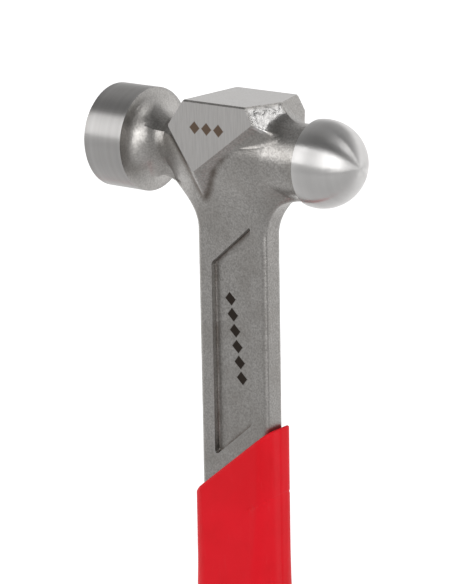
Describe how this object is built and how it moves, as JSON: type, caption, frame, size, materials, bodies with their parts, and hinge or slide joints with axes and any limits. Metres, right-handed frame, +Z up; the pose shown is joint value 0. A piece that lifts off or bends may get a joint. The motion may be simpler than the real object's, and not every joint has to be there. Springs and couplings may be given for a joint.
{
  "type": "ball peen hammer",
  "caption": "One-piece forged steel ball peen hammer with ground cheeks, turned face and ball, pocketed flat shank and a two-material moulded grip with a slanted collar.",
  "frame": {"origin": "centre of the flat butt face under the grip", "axes": "+Z up the shank to the head, +X along the head towards the ball, Y through the broad faces of the shank"},
  "size_m": [0.0912, 0.0312, 0.335],
  "materials": {
    "forged_steel": "fine-blasted forging with ground flats and a turned, polished face and ball",
    "damping_liner": "matte",
    "core_plastic": "matte",
    "red_skin": "satin moulded",
    "black_pad": "matte, textured",
    "cap_plastic": "fine matte"
  },
  "bodies": {
    "root": {"hammer_forging": "forged_steel", "tang_damping_sleeve": "damping_liner", "grip_core": "core_plastic", "red_grip_skin": "red_skin", "front_palm_pad": "black_pad", "back_palm_pad": "black_pad", "butt_cap": "cap_plastic"}
  },
  "joints": []
}
